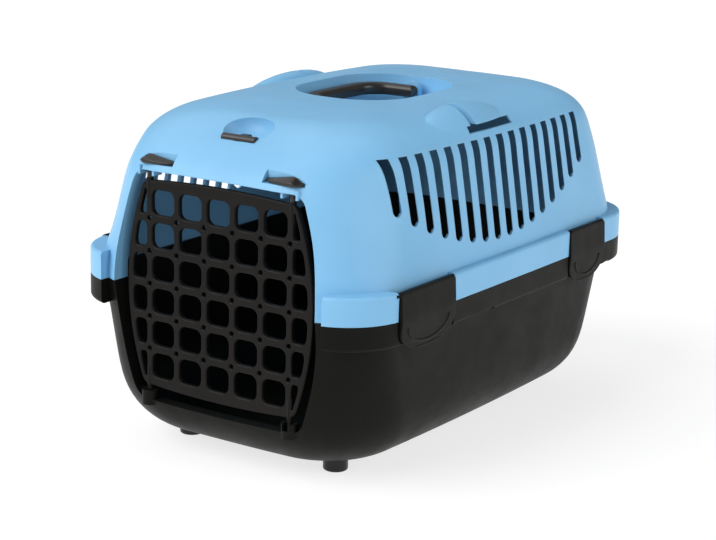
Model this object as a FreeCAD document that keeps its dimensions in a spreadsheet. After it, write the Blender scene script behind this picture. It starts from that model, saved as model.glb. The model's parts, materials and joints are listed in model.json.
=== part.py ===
import FreeCAD, Part
import math
import os
import Sketcher

# Sizes of the pet carrier in millimetres. The door faces -Y, +X is the right side, z = 0 is the ground.
SIZES = {
    # the two shells
    "seam": 150.0, "wall": 2.2,
    "lid_rise": 150.0, "lid_half": 153.0, "lid_front": 236.0, "lid_rear": 236.0,
    "lid_corner": 70.0, "lid_bow": 14.0, "lid_end_bow": 5.0,
    "tray_drop": 138.0, "tray_half": 150.0, "tray_front": 234.0, "tray_rear": 233.0,
    "tray_corner": 80.0, "tray_bow": 5.0, "tray_end_bow": 4.0,
    # the bands that meet at the seam
    "band_half": 158.0, "band_length": 477.0, "band_corner": 58.0, "band_bow": 2.0, "band_shift": -0.4,
    "flange_height": 24.0, "rim_height": 21.6, "band_gap_half": 115.0, "band_depth": 40.0,
    "flange_round": 3.0, "rim_round": 4.0,
    # the doorway and its surround
    "doorway_half": 105.0, "doorway_low": 48.0, "doorway_high": 250.4, "doorway_corner": 14.0,
    "doorway_bow": 20.0, "doorway_end_bow": 2.0, "surround_wall": 4.0, "surround_front": 232.5,
    "surround_depth": 19.5, "through": 60.0,
    # the door
    "door_half": 97.0, "door_low": 59.0, "door_high": 244.0, "door_corner": 10.0,
    "door_bow": 17.5, "door_end_bow": 3.5, "door_face": 222.0, "door_thick": 5.0,
    "grid_pitch_x": 29.3, "grid_pitch_z": 28.5, "grid_mid": 150.9, "window_half_x": 11.2,
    "window_half_z": 10.8, "window_corner": 5.5, "window_bow": 0.4, "door_border": 7.5, "dot_radius": 2.0,
    # the door's corner bosses and pins
    "pin_x": 74.0, "pin_y": -219.5, "pin_radius": 2.5, "pin_clear": 0.05, "boss_radius": 4.0,
    "top_boss_low": 224.0, "top_boss_high": 242.5, "eye_low": 231.0, "foot_boss_low": 60.5,
    "foot_boss_high": 78.0, "foot_pin_low": 51.0, "socket_radius": 7.5, "socket_low": 44.0,
    "socket_high": 57.0, "notch_clear": 0.4,
    # the latch levers
    "latch_inner": 46.5, "latch_outer": 84.5, "latch_bottom": 255.3, "latch_tall": 262.8,
    "latch_low": 258.2, "latch_shoulder": 75.0, "latch_front": 226.0, "latch_back": 216.5,
    "latch_clear": 0.3, "latch_pin_low": 233.0, "latch_pocket_top": 290.0, "latch_round": 1.6,
    "keeper_inner": 42.0, "keeper_outer": 89.0, "keeper_back": 210.0, "keeper_low": 249.0,
    "keeper_high": 272.0,
    "rib_inner": 66.5, "rib_outer": 81.5, "rib_half": 1.1, "rib_low": 245.0, "rib_front": 225.0,
    "rib_back": 214.5, "rib_high": 252.5,
    # the side vents
    "slot_first": -162.8, "slot_pitch": 20.12, "slot_width": 10.0, "slot_top": 274.0, "slot_reach": 85.0,
    "slot_inside": 100.0, "slot_low": 186.5, "slot_arch": 42.0,
    # the handle well and the handle
    "well_y": 5.0, "well_half_x": 58.0, "well_half_y": 76.0, "well_corner": 50.0, "well_bow": 4.0,
    "well_top": 306.0, "well_floor": 264.0, "well_wall": 3.0,
    "grip_reach": 49.0, "grip_half_y": 60.0, "grip_corner": 30.0, "grip_width": 15.0, "leg_width": 11.0,
    "grip_thick": 11.0, "grip_round": 4.5, "leg_end": 7.5, "pivot_z": 289.0, "pivot_radius": 3.5,
    "pivot_length": 6.0, "pivot_clear": 0.05, "grip_bow": 1.0, "post_gap": 0.4, "post_thick": 7.0,
    "post_half": 8.0, "post_low": 266.0, "post_cap": 8.0,
    # the belt guides on the shoulders
    "belt_x": 113.0, "belt_y": -24.0, "belt_z": 279.0, "belt_long": 66.0, "belt_wide": 26.0, "belt_high": 15.0,
    "belt_tilt": 48.0, "belt_slot_front": -43.0, "belt_slot_rear": 30.0, "belt_slot_low": 279.0,
    "belt_slot_high": 285.0, "belt_slot_in": 96.0, "belt_slot_out": 160.0, "belt_slit_width": 9.0,
    "belt_slit_high": 303.0, "belt_slit_inset": 6.0,
    # the strap eyelets
    "scoop_y": 183.0, "scoop_z": 289.5, "scoop_half_x": 24.0, "scoop_half_y": 20.0, "scoop_half_z": 15.0,
    "scoop_wall": 3.0, "eyelet_y": 193.3, "eyelet_z": 280.2, "eyelet_radius": 3.6, "eyelet_half": 17.0,
    "tongue_half": 4.0, "tongue_thick": 5.0, "tongue_reach": 11.0,
    # the clips
    "clip_front_y": -145.5, "clip_rear_y": 127.0, "clip_front_half": 41.0, "clip_rear_half": 33.0,
    "clip_clear": 0.5, "clip_axis_x": 155.0, "clip_axis_z": 171.0, "clip_barrel": 3.2, "clip_pin": 1.6,
    "clip_pin_clear": 0.05, "clip_pin_length": 3.0, "clip_out": 160.0, "clip_in": 156.3, "clip_notch_in": 146.0,
    "clip_notch_high": 180.0, "clip_recess_in": 156.0,
    "clip_tab_low": 121.0, "clip_side_low": 140.0, "clip_hook_in": 153.5, "clip_hook_high": 128.1,
    "clip_hook_low": 124.0, "clip_hook_half": 16.0, "clip_ridge_out": 161.2, "clip_ridge_half": 26.0,
    "clip_ridge_high": 142.0, "clip_ridge_low": 126.0, "clip_ridge_width": 2.4, "clip_round": 1.0,
    # the feet
    "foot_x": 78.0, "foot_front": -158.0, "foot_rear": 152.0, "foot_radius": 10.8, "foot_height": 12.0,
    "foot_round": 2.0, "foot_stem": 3.0, "foot_stem_rise": 1.8,
    "reach": 400.0,
}

# Shares of the shell sizes from the seam to the roof: rise, half width, front, rear, rear corner, front corner,
# bow, then the sideways and upward shares of the wall thickness.
LID_SHARES = [
    (0.0, 1.0, 1.0, 1.0, 0.93, 0.98, 0.35, 1.0, 0.0),
    (0.16, 0.993, 0.997, 0.996, 0.94, 1.02, 0.4, 1.0, 0.0),
    (0.26, 0.979, 0.993, 0.988, 0.96, 1.05, 0.5, 1.0, 0.0),
    (0.533, 0.936, 0.98, 0.966, 1.0, 1.11, 0.7, 0.98, 0.1),
    (0.7, 0.909, 0.954, 0.942, 1.0, 1.11, 0.9, 0.95, 0.25),
    (0.8, 0.888, 0.892, 0.911, 0.98, 1.06, 1.0, 0.85, 0.5),
    (0.88, 0.836, 0.812, 0.858, 0.91, 0.95, 1.0, 0.65, 0.76),
    (0.933, 0.751, 0.742, 0.794, 0.8, 0.82, 0.93, 0.45, 0.9),
    (0.973, 0.621, 0.646, 0.692, 0.65, 0.66, 0.8, 0.25, 0.97),
    (1.0, 0.405, 0.432, 0.5, 0.43, 0.43, 0.57, 0.0, 1.0),
]
# Shares of the tray sizes from the seam down to the floor, in the same order.
TRAY_SHARES = [
    (0.0, 1.0, 1.0, 1.0, 0.84, 0.74, 1.0, 1.0, 0.0),
    (0.16, 0.985, 0.99, 0.988, 0.88, 0.76, 1.0, 1.0, 0.0),
    (0.38, 0.978, 0.983, 0.962, 0.95, 0.86, 1.0, 1.0, 0.0),
    (0.594, 0.971, 0.978, 0.934, 1.0, 0.97, 1.0, 0.99, 0.1),
    (0.749, 0.945, 0.96, 0.908, 1.0, 1.0, 1.0, 0.92, 0.38),
    (0.881, 0.868, 0.91, 0.857, 0.9, 0.9, 1.0, 0.71, 0.71),
    (0.969, 0.75, 0.835, 0.78, 0.7, 0.7, 1.0, 0.38, 0.92),
    (1.0, 0.607, 0.744, 0.705, 0.47, 0.47, 1.0, 0.0, 1.0),
]
# Shares of the well's half sizes, depth and corner from the roof down to its floor.
WELL_SHARES = [(0.0, 1.0, 1.0), (0.35, 0.985, 0.97), (0.7, 0.93, 0.88), (0.9, 0.84, 0.74), (1.0, 0.66, 0.5)]
SLOT_COUNT = 16
GRID_COLUMNS = 7
GRID_ROWS = 6
DEE_STEPS = 14
QUARTER_TURN = 90.0

doc = FreeCAD.newDocument("carrier")
sheet = doc.addObject("Spreadsheet::Sheet", "Sizes")
for row, (alias, number) in enumerate(SIZES.items(), 1):
    sheet.set(f"A{row}", alias)
    sheet.set(f"B{row}", str(number))
    sheet.setAlias(f"B{row}", alias)
doc.recompute()


class Size:
    """A size as the sheet's expression together with its present value."""

    def __init__(self, text, value):
        self.text, self.value = text, value

    def _with(self, sign, other, value):
        return Size(f"({self.text} {sign} {getattr(other, 'text', other)})", value)

    def __add__(self, other):
        return self._with("+", other, self.value + other.value)

    def __sub__(self, other):
        return self._with("-", other, self.value - other.value)

    def __mul__(self, other):
        return self._with("*", other, self.value * getattr(other, "value", other))

    def __truediv__(self, other):
        return self._with("/", other, self.value / getattr(other, "value", other))

    def __neg__(self):
        return Size(f"(-1 * {self.text})", -self.value)


def size(alias):
    return Size(f"Sizes.{alias}", float(sheet.get(alias)))


ZERO = Size("0", 0.0)


def bind(item, **sizes):
    for key, amount in sizes.items():
        item.setExpression(key.replace("__", "."), amount.text)


def place(item, x=ZERO, y=ZERO, z=ZERO):
    bind(item, Placement__Base__x=x, Placement__Base__y=y, Placement__Base__z=z)


def box(name, x0, x1, y0, y1, z0, z1):
    item = doc.addObject("Part::Box", name)
    bind(item, Length=x1 - x0, Width=y1 - y0, Height=z1 - z0)
    place(item, x0, y0, z0)
    return item


def rod(name, radius, length, x, y, z, axis="z"):
    item = doc.addObject("Part::Cylinder", name)
    bind(item, Radius=radius, Height=length)
    turns = {"x": (FreeCAD.Vector(0, 1, 0), QUARTER_TURN), "y": (FreeCAD.Vector(1, 0, 0), -QUARTER_TURN)}
    if axis in turns:
        item.Placement.Rotation = FreeCAD.Rotation(*turns[axis])
    place(item, x, y, z)
    return item


def ellipsoid(name, half_x, half_y, half_z, x, y, z):
    item = doc.addObject("Part::Ellipsoid", name)
    item.Angle1 = -QUARTER_TURN
    bind(item, Radius1=half_z, Radius2=half_x, Radius3=half_y)
    place(item, x, y, z)
    return item


def fuse(name, *items):
    item = doc.addObject("Part::MultiFuse", name)
    item.Shapes = list(items)
    item.Refine = False
    return item


def cut(name, base, *tools):
    item = doc.addObject("Part::Cut", name)
    item.Base = base
    item.Tool = tools[0] if len(tools) == 1 else fuse(f"{name}Tools", *tools)
    item.Refine = False
    return item


def common(name, base, tool):
    item = doc.addObject("Part::Common", name)
    item.Base, item.Tool = base, tool
    return item


def mirror(name, source, normal=(1, 0, 0)):
    item = doc.addObject("Part::Mirroring", name)
    item.Source = source
    item.Normal = FreeCAD.Vector(*normal)
    return item


def new_body(name):
    return doc.addObject("PartDesign::Body", name)


def new_sketch(body, name, role, level, mid=ZERO, across=ZERO):
    sketch = body.newObject("Sketcher::SketchObject", name)
    plane = next(f for f in body.Origin.OriginFeatures if f.Role == role)
    sketch.AttachmentSupport = [(plane, "")]
    sketch.MapMode = "FlatFace"
    bind(sketch, AttachmentOffset__Base__x=across, AttachmentOffset__Base__y=mid, AttachmentOffset__Base__z=level)
    return sketch


def outline(sketch, half_x, half_y, corner, bow_x, bow_y, lower=None):
    """Draws a closed outline of four bowed sides and four round corners about the sketch's own middle. Its two
    lower corners may have a radius of their own."""
    lower = lower or corner
    side = (half_y * half_y + bow_x * bow_x) / (bow_x * 2)
    end = (half_x * half_x + bow_y * bow_y) / (bow_y * 2)
    sx, ey = side.value - half_x.value, end.value - half_y.value
    apart = math.hypot(sx, ey)
    ux, uy = sx / apart, -ey / apart

    def corner_spot(radius):
        # the corner's middle lies at known distances from the middles of the two long arcs
        reach_s, reach_e = side.value - radius.value, end.value - radius.value
        along = (reach_s ** 2 - reach_e ** 2 + apart ** 2) / (apart * 2)
        off = math.sqrt(reach_s ** 2 - along ** 2)
        cx, cy = -sx + ux * along - uy * off, uy * along + ux * off
        return cx, cy, math.atan2(cy, cx + sx), math.atan2(cy + ey, cx)

    cx, cy, lean_s, lean_e = corner_spot(corner)
    low_x, low_y, low_s, low_e = corner_spot(lower)
    half_turn, turn = math.pi, math.pi * 2
    arcs = [
        ((-sx, 0), side, -low_s, lean_s), ((cx, cy), corner, lean_s, lean_e),
        ((0, -ey), end, lean_e, half_turn - lean_e), ((-cx, cy), corner, half_turn - lean_e, half_turn - lean_s),
        ((sx, 0), side, half_turn - lean_s, half_turn + low_s),
        ((-low_x, -low_y), lower, half_turn + low_s, half_turn + low_e),
        ((0, ey), end, half_turn + low_e, turn - low_e), ((low_x, -low_y), lower, turn - low_e, turn - low_s),
    ]
    up = FreeCAD.Vector(0, 0, 1)
    for (mx, my), radius, start, stop in arcs:
        circle = Part.Circle(FreeCAD.Vector(mx, my, 0), up, radius.value)
        sketch.addGeometry(Part.ArcOfCircle(circle, start, stop), False)
    count = len(arcs)
    for index in range(count):
        sketch.addConstraint(Sketcher.Constraint("Tangent", index, 2, (index + 1) % count, 1))
    for index, (middle, radius, start, stop) in enumerate(arcs):
        spot = sketch.addConstraint(Sketcher.Constraint("Radius", index, radius.value))
        sketch.setExpression(f"Constraints[{spot}]", radius.text)
    for index, axis, kind, far in ((0, -1, "DistanceX", side - half_x), (4, -1, "DistanceX", side - half_x),
                                   (2, -2, "DistanceY", end - half_y), (6, -2, "DistanceY", end - half_y)):
        sketch.addConstraint(Sketcher.Constraint("PointOnObject", index, 3, axis))
        ends = (index, 3, -1, 1) if index in (0, 2) else (-1, 1, index, 3)
        spot = sketch.addConstraint(Sketcher.Constraint(kind, *ends, far.value))
        sketch.setExpression(f"Constraints[{spot}]", far.text)
    return sketch


def polygon(sketch, corners):
    """Draws a closed outline of straight sides through corners given as pairs of sizes."""
    count = len(corners)
    for index in range(count):
        (x0, y0), (x1, y1) = corners[index], corners[(index + 1) % count]
        sketch.addGeometry(Part.LineSegment(FreeCAD.Vector(x0.value, y0.value, 0),
                                            FreeCAD.Vector(x1.value, y1.value, 0)), False)
    for index in range(count):
        sketch.addConstraint(Sketcher.Constraint("Coincident", index, 2, (index + 1) % count, 1))
    for index, pair in enumerate(corners):
        for kind, far in zip(("DistanceX", "DistanceY"), pair):
            spot = sketch.addConstraint(Sketcher.Constraint(kind, -1, 1, index, 1, far.value))
            sketch.setExpression(f"Constraints[{spot}]", far.text)
    return sketch


def pad(body, sketch, name, depth, reverse=False):
    item = body.newObject("PartDesign::Pad", name)
    item.Profile = sketch
    item.Reversed = reverse
    bind(item, Length=depth)
    sketch.Visibility = False
    return item


def prism(name, role, level, mid, depth, *form, reverse=False, across=ZERO):
    body = new_body(name)
    sketch = outline(new_sketch(body, f"{name}Outline", role, level, mid, across), *form)
    pad(body, sketch, f"{name}Pad", depth, reverse)
    return body


def loft(name, sections):
    """Builds a solid through outlines given as level, middle, half sizes, corner and bows: smooth but for its
    last step, which runs straight to the flat end."""
    body = new_body(name)
    sketches = []
    for index, (level, mid, *form) in enumerate(sections):
        sketches.append(outline(new_sketch(body, f"{name}Section{index}", "XY_Plane", level, mid), *form))
    doc.recompute()
    for title, steps, ruled in (("Wall", sketches[:-1], False), ("End", sketches[-2:], True)):
        item = body.newObject("PartDesign::AdditiveLoft", f"{name}{title}")
        item.Profile = steps[0]
        item.Sections = steps[1:]
        item.Ruled = ruled
        doc.recompute()
    return body


def rounded(body, name, radius, test):
    """Rounds the edges of a body's last feature that pass a test on their middle point."""
    doc.recompute()
    base = body.Tip
    picked = [f"Edge{i}" for i, edge in enumerate(base.Shape.Edges, 1)
              if test(edge.valueAt((edge.FirstParameter + edge.LastParameter) / 2))]
    item = body.newObject("PartDesign::Fillet", name)
    item.Base = (base, picked)
    bind(item, Radius=radius)
    doc.recompute()
    return body


def near(a, b):
    return abs(a - b) < size("wall").value / 100


def shell_rows(kind, shares, sign, inside):
    rows = []
    for rise, half, front, rear, corner, nose, bow, side, up in shares:
        skin = size("wall") * (side if inside else 0)
        lift = size("wall") * (up if inside else 0)
        span = size("lid_rise") if kind == "lid" else size("tray_drop")
        climb = span * rise - lift
        level = size("seam") + climb if sign > 0 else size("seam") - climb
        ahead = size(f"{kind}_front") * front - skin
        behind = size(f"{kind}_rear") * rear - skin
        rows.append((level, (behind - ahead) / 2, size(f"{kind}_half") * half - skin, (behind + ahead) / 2,
                     size(f"{kind}_corner") * corner - skin, size(f"{kind}_bow") * bow, size(f"{kind}_end_bow"),
                     size(f"{kind}_corner") * nose - skin))
    return rows


def mid_of(low, high):
    return (size(low) + size(high)) / 2


def half_of(low, high):
    return (size(high) - size(low)) / 2


# The doorway, its surround and the door share one barrel outline.
doorway_mid = mid_of("doorway_low", "doorway_high")
doorway_form = (size("doorway_half"), half_of("doorway_low", "doorway_high"), size("doorway_corner"),
                size("doorway_bow"), size("doorway_end_bow"))
lip = size("surround_wall")
surround_form = (doorway_form[0] + lip, doorway_form[1] + lip, doorway_form[2] + lip, *doorway_form[3:])
doorway = prism("Doorway", "XZ_Plane", size("surround_front") + lip * 3, doorway_mid, size("through"),
                *doorway_form, reverse=True)
surround = prism("Surround", "XZ_Plane", size("surround_front"), doorway_mid, size("surround_depth"),
                 *surround_form, reverse=True)
far_out = size("reach")


def band(name, low, height, radius, round_level):
    """A band round a shell at the seam, open in front where the doorway stands."""
    body = prism(name, "XY_Plane", low, size("band_shift"), height, size("band_half"), size("band_length") / 2,
                 size("band_corner"), size("band_bow"), size("band_bow"))
    rounded(body, f"{name}Round", radius, lambda point: near(point.z, round_level))
    gap = box(f"{name}Gap", -size("band_gap_half"), size("band_gap_half"), -far_out,
              size("band_depth") - size("band_length") / 2, low - height, low + height * 2)
    return cut(f"{name}Open", body, gap)


flange = band("Flange", size("seam"), size("flange_height"), size("flange_round"),
              size("seam").value + size("flange_height").value)
rim = band("Rim", size("seam") - size("rim_height"), size("rim_height"), size("rim_round"),
           size("seam").value - size("rim_height").value)

# Clips: notches in the flange, recesses in the rim, holes for the trunnions.
clip_ys = {"front": size("clip_front_y"), "rear": size("clip_rear_y")}
notches, recesses, clip_holes = [], [], []
for end, middle in clip_ys.items():
    clip_wide = size(f"clip_{end}_half") + size("clip_clear")
    notches.append(box(f"ClipNotch_{end}", size("clip_notch_in"), far_out, middle - clip_wide, middle + clip_wide,
                       size("seam") - size("wall"), size("clip_notch_high")))
    recesses.append(box(f"ClipRecess_{end}", size("clip_recess_in"), far_out, middle - clip_wide,
                        middle + clip_wide, ZERO, size("seam") + size("wall")))
    hole_half = clip_wide + size("clip_pin_length")
    clip_holes.append(rod(f"ClipHole_{end}", size("clip_pin") + size("clip_pin_clear"), hole_half * 2,
                          size("clip_axis_x"), middle - hole_half, size("clip_axis_z"), "y"))
right_notches = fuse("RightNotches", *notches, *clip_holes)
flange_cut = cut("FlangeNotched", flange, right_notches, mirror("LeftNotches", right_notches))
right_recesses = fuse("RightRecesses", *recesses)
rim_cut = cut("RimNotched", rim, right_recesses, mirror("LeftRecesses", right_recesses))

# The top shell: a smooth dome with a hollow that leaves the well, scoops, lintel and surround standing.
lid_outer = loft("LidOuter", shell_rows("lid", LID_SHARES, 1, False))
lid_hollow = loft("LidHollow", shell_rows("lid", LID_SHARES, 1, True))


def well(name, extra, drop):
    rows = []
    depth = size("well_top") - size("well_floor") + drop
    for fall, half, corner in WELL_SHARES:
        rows.append((size("well_top") - depth * fall, size("well_y"), size("well_half_x") * half + extra,
                     size("well_half_y") * half + extra, size("well_corner") * corner + extra,
                     size("well_bow"), size("well_bow")))
    return loft(name, rows)


well_inside = well("WellInside", ZERO, ZERO)
well_outside = well("WellOutside", size("well_wall"), size("well_wall"))
scoop_skin = size("scoop_wall")
scoops, scoop_keepers, eyelet_holes = [], [], []
scoop_sides = (("front", -1), ("rear", 1))
for end, side in scoop_sides:
    spot = (ZERO, size("scoop_y") * side, size("scoop_z"))
    scoops.append(ellipsoid(f"Scoop_{end}", size("scoop_half_x"), size("scoop_half_y"), size("scoop_half_z"), *spot))
    scoop_keepers.append(ellipsoid(f"ScoopKeeper_{end}", size("scoop_half_x") + scoop_skin,
                                   size("scoop_half_y") + scoop_skin, size("scoop_half_z") + scoop_skin, *spot))
    eyelet_holes.append(rod(f"EyeletHole_{end}", size("eyelet_radius"), size("eyelet_half") * 2,
                            -size("eyelet_half"), size("eyelet_y") * side, size("eyelet_z"), "x"))
keeper = box("LintelKeeper", size("keeper_inner"), size("keeper_outer"), -size("lid_front"), -size("keeper_back"),
             size("keeper_low"), size("keeper_high"))
hollow_cut = cut("LidHollowKept", lid_hollow, well_outside, surround, *scoop_keepers, keeper,
                 mirror("LintelKeeperLeft", keeper))

# Belt guides: an oval bulge on each shoulder with a slot and a slit that meets it.
bulge = ellipsoid("BeltBulge", size("belt_wide"), size("belt_long"), size("belt_high"), ZERO, ZERO, ZERO)
bulge.Placement.Rotation = FreeCAD.Rotation(FreeCAD.Vector(0, 1, 0), SIZES["belt_tilt"])
place(bulge, size("belt_x"), size("belt_y"), size("belt_z"))
belt_slot = box("BeltSlot", size("belt_slot_in"), size("belt_slot_out"), size("belt_slot_front"),
                size("belt_slot_rear"), size("belt_slot_low"), size("belt_slot_high"))
slit_front = size("belt_slot_front") + size("belt_slit_inset")
belt_slit = box("BeltSlit", size("belt_slot_in"), size("belt_slot_out"), slit_front,
                slit_front + size("belt_slit_width"), size("belt_slot_low"), size("belt_slit_high"))
belt_cut = fuse("BeltCut", belt_slot, belt_slit)


def turned(name, source):
    """The same form turned half round about the upright axis, as the roof's two sides are."""
    return mirror(name, mirror(f"{name}Mirror", source), (0, 1, 0))


bulge_left, belt_cut_left = turned("BeltBulgeLeft", bulge), turned("BeltCutLeft", belt_cut)

# Side vents: slots with flat tops, and round lower ends that follow an arch along the side.
vents = []
for index in range(SLOT_COUNT):
    middle = size("slot_first") + size("slot_pitch") * index
    from_middle = (index * 2 - (SLOT_COUNT - 1)) / (SLOT_COUNT - 1)
    low = size("slot_low") + size("slot_arch") * (from_middle * from_middle)
    half = size("slot_width") / 2
    vents.append(box(f"Vent_{index}", size("slot_inside"), size("slot_inside") + size("slot_reach"), middle - half,
                     middle + half, low + half, size("slot_top")))
    vents.append(rod(f"VentEnd_{index}", half, size("slot_reach"), size("slot_inside"), middle, low + half, "x"))
right_vents = fuse("RightVents", *vents)
left_vents = mirror("LeftVents", right_vents)

# Latch pockets and pin holes on both sides of the lintel.
gap = size("latch_clear")
pocket = box("LatchPocket", size("latch_inner") - gap, size("latch_outer") + gap, -far_out, gap - size("latch_back"),
             size("latch_bottom") - gap, size("latch_pocket_top"))
pin_hole = rod("LatchHole", size("pin_radius") + size("pin_clear"), size("through"), size("pin_x"), size("pin_y"),
               size("rib_low"))
right_latch_room = fuse("RightLatchRoom", pocket, pin_hole)
latch_room = fuse("LatchRoom", right_latch_room, mirror("LeftLatchRoom", right_latch_room))

ribs = []
for side, sign in (("right", 1), ("left", -1)):
    for where in ("rib_inner", "rib_outer"):
        middle = size(where) * sign
        ribs.append(box(f"{where}_{side}", middle - size("rib_half"), middle + size("rib_half"),
                        -size("rib_front"), -size("rib_back"), size("rib_low"), size("rib_high")))

posts = []
post_in = size("grip_half_y") + size("post_gap")
for end, side in scoop_sides:
    low_y = size("well_y") + (post_in if side > 0 else -(post_in + size("post_thick")))
    post = box(f"Post_{end}", -size("post_half"), size("post_half"), low_y, low_y + size("post_thick"),
               size("post_low"), size("pivot_z"))
    cap = rod(f"PostCap_{end}", size("post_cap"), size("post_thick"), ZERO, low_y, size("pivot_z"), "y")
    posts += [post, cap]
pivot_hole_half = post_in + size("pivot_length")
pivot_hole = rod("PivotHole", size("pivot_radius") + size("pivot_clear"), pivot_hole_half * 2, ZERO,
                 size("well_y") - pivot_hole_half, size("pivot_z"), "y")

lid_solid = fuse("LidSolid", lid_outer, flange_cut, bulge, bulge_left)
lid_shell = cut("LidShell", lid_solid, hollow_cut, doorway)
lid_open = cut("LidOpen", lid_shell, well_inside, *scoops, *eyelet_holes, right_vents, left_vents, belt_cut,
               belt_cut_left, latch_room)
lid_whole = fuse("LidWhole", lid_open, *ribs, *posts)
above = box("AboveSeam", -far_out, far_out, -far_out, far_out, size("seam"), far_out)
top_shell = common("LidTrim", cut("LidBored", lid_whole, pivot_hole, pin_hole, mirror("PinHoleLeft", pin_hole)), above)

# The tray: a deep tub with the rim band, the lower half of the surround and two hinge sockets.
tray_outer = loft("TrayOuter", shell_rows("tray", TRAY_SHARES, -1, False))
tray_hollow = loft("TrayHollow", shell_rows("tray", TRAY_SHARES, -1, True))
tray_keep = cut("TrayHollowKept", tray_hollow, surround)
tray_shell = cut("TrayShell", fuse("TraySolid", tray_outer, rim_cut), tray_keep, doorway)
sockets, socket_holes = [], []
for side, sign in (("left", -1), ("right", 1)):
    sockets.append(rod(f"Socket_{side}", size("socket_radius"), size("socket_high") - size("socket_low"),
                       size("pin_x") * sign, size("pin_y"), size("socket_low")))
    socket_holes.append(rod(f"SocketHole_{side}", size("pin_radius") + size("pin_clear"), size("reach"),
                            size("pin_x") * sign, size("pin_y"), size("foot_pin_low") - size("pin_clear")))
notch_half = size("pin_radius") + size("notch_clear")
socket_notch = box("SocketNotch", size("pin_x") - notch_half, size("pin_x") + notch_half, -far_out, size("pin_y"),
                   size("foot_pin_low") - size("pin_clear"), size("doorway_high"))
stem_holes = []
feet = {}
for lengthwise in ("front", "rear"):
    for side, sign in (("left", -1), ("right", 1)):
        spot = (size("foot_x") * sign, size(f"foot_{lengthwise}"))
        stem_holes.append(rod(f"StemHole_{lengthwise}_{side}", size("foot_stem"), size("foot_stem_rise"), *spot,
                              size("foot_height")))
        feet[f"foot_{lengthwise}_{side}"] = spot
below = box("BelowSeam", -far_out, far_out, -far_out, far_out, -far_out, size("seam"))
tray_whole = cut("TrayWhole", fuse("TraySocketed", tray_shell, *sockets), *socket_holes, socket_notch, *stem_holes)
bottom_tray = common("TrayTrim", tray_whole, below)

# The door: a barrel plate pierced by rounded windows, with corner bosses on the two hinge lines.
door_mid, door_tall = mid_of("door_low", "door_high"), half_of("door_low", "door_high")
door_plate = prism("DoorPlate", "XZ_Plane", size("door_face"), door_mid, size("door_thick"), size("door_half"),
                   door_tall, size("door_corner"), size("door_bow"), size("door_end_bow"), reverse=True)
edge = size("door_border")
window_limit = prism("WindowLimit", "XZ_Plane", size("door_face") + edge, door_mid, size("door_thick") + edge * 2,
                     size("door_half") - edge, door_tall - edge, size("door_corner"), size("door_bow"),
                     size("door_end_bow"), reverse=True)
windows, dots = [], []
for row_index in range(GRID_ROWS):
    rise = size("grid_mid") + size("grid_pitch_z") * (row_index - (GRID_ROWS - 1) / 2)
    for column in range(GRID_COLUMNS):
        across = size("grid_pitch_x") * (column - (GRID_COLUMNS - 1) / 2)
        windows.append(prism(f"Window_{row_index}_{column}", "XZ_Plane", size("door_face") + edge, rise,
                             size("door_thick") + edge * 2, size("window_half_x"), size("window_half_z"),
                             size("window_corner"), size("window_bow"), size("window_bow"), reverse=True,
                             across=across))
        if row_index and column:
            dots.append(rod(f"Dot_{row_index}_{column}", size("dot_radius"), size("door_thick") + edge * 2,
                            across - size("grid_pitch_x") / 2, -(size("door_face") + edge),
                            rise - size("grid_pitch_z") / 2, "y"))
window_set = common("WindowSet", fuse("Windows", *windows), window_limit)
bosses, eye_tools = [], []
for side, sign in (("left", -1), ("right", 1)):
    spot = (size("pin_x") * sign, size("pin_y"))
    bosses.append(rod(f"TopBoss_{side}", size("boss_radius"), size("top_boss_high") - size("top_boss_low"), *spot,
                      size("top_boss_low")))
    bosses.append(rod(f"FootBoss_{side}", size("boss_radius"), size("foot_boss_high") - size("foot_boss_low"), *spot,
                      size("foot_boss_low")))
    bosses.append(rod(f"FootPin_{side}", size("pin_radius"), size("foot_boss_high") - size("foot_pin_low"), *spot,
                      size("foot_pin_low")))
    eye_tools.append(rod(f"Eye_{side}", size("pin_radius") + size("pin_clear"), size("through"), *spot,
                         size("eye_low")))
eye_tools.append(box("EyeNotch", size("pin_x") - notch_half, size("pin_x") + notch_half, size("pin_y"), ZERO,
                     size("eye_low"), size("doorway_high")))
door_grille = cut("DoorCut", fuse("DoorBossed", cut("DoorPierced", door_plate, window_set, *dots), *bosses),
                  *eye_tools)


def latch(name, sign):
    """A wedge cap, tall at its outer end, with a pin that drops into the door's top corner."""
    body = new_body(f"{name}Body")
    sketch = new_sketch(body, f"{name}Outline", "XZ_Plane", size("latch_front"))
    corners = [(size("latch_inner"), size("latch_bottom")), (size("latch_outer"), size("latch_bottom")),
               (size("latch_outer"), size("latch_low")), (size("latch_shoulder"), size("latch_tall")),
               (size("latch_inner"), size("latch_low"))]
    polygon(sketch, [(x * sign, z) for x, z in corners])
    pad(body, sketch, f"{name}Pad", size("latch_front") - size("latch_back"), True)
    low = size("latch_bottom").value
    rounded(body, f"{name}Round", size("latch_round"), lambda point: point.z > low + size("wall").value / 3)
    pin = rod(f"{name}Pin", size("pin_radius"), size("latch_low") - size("latch_pin_low"), size("pin_x") * sign,
              size("pin_y"), size("latch_pin_low"))
    return fuse(f"{name}Whole", body, pin)


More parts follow.
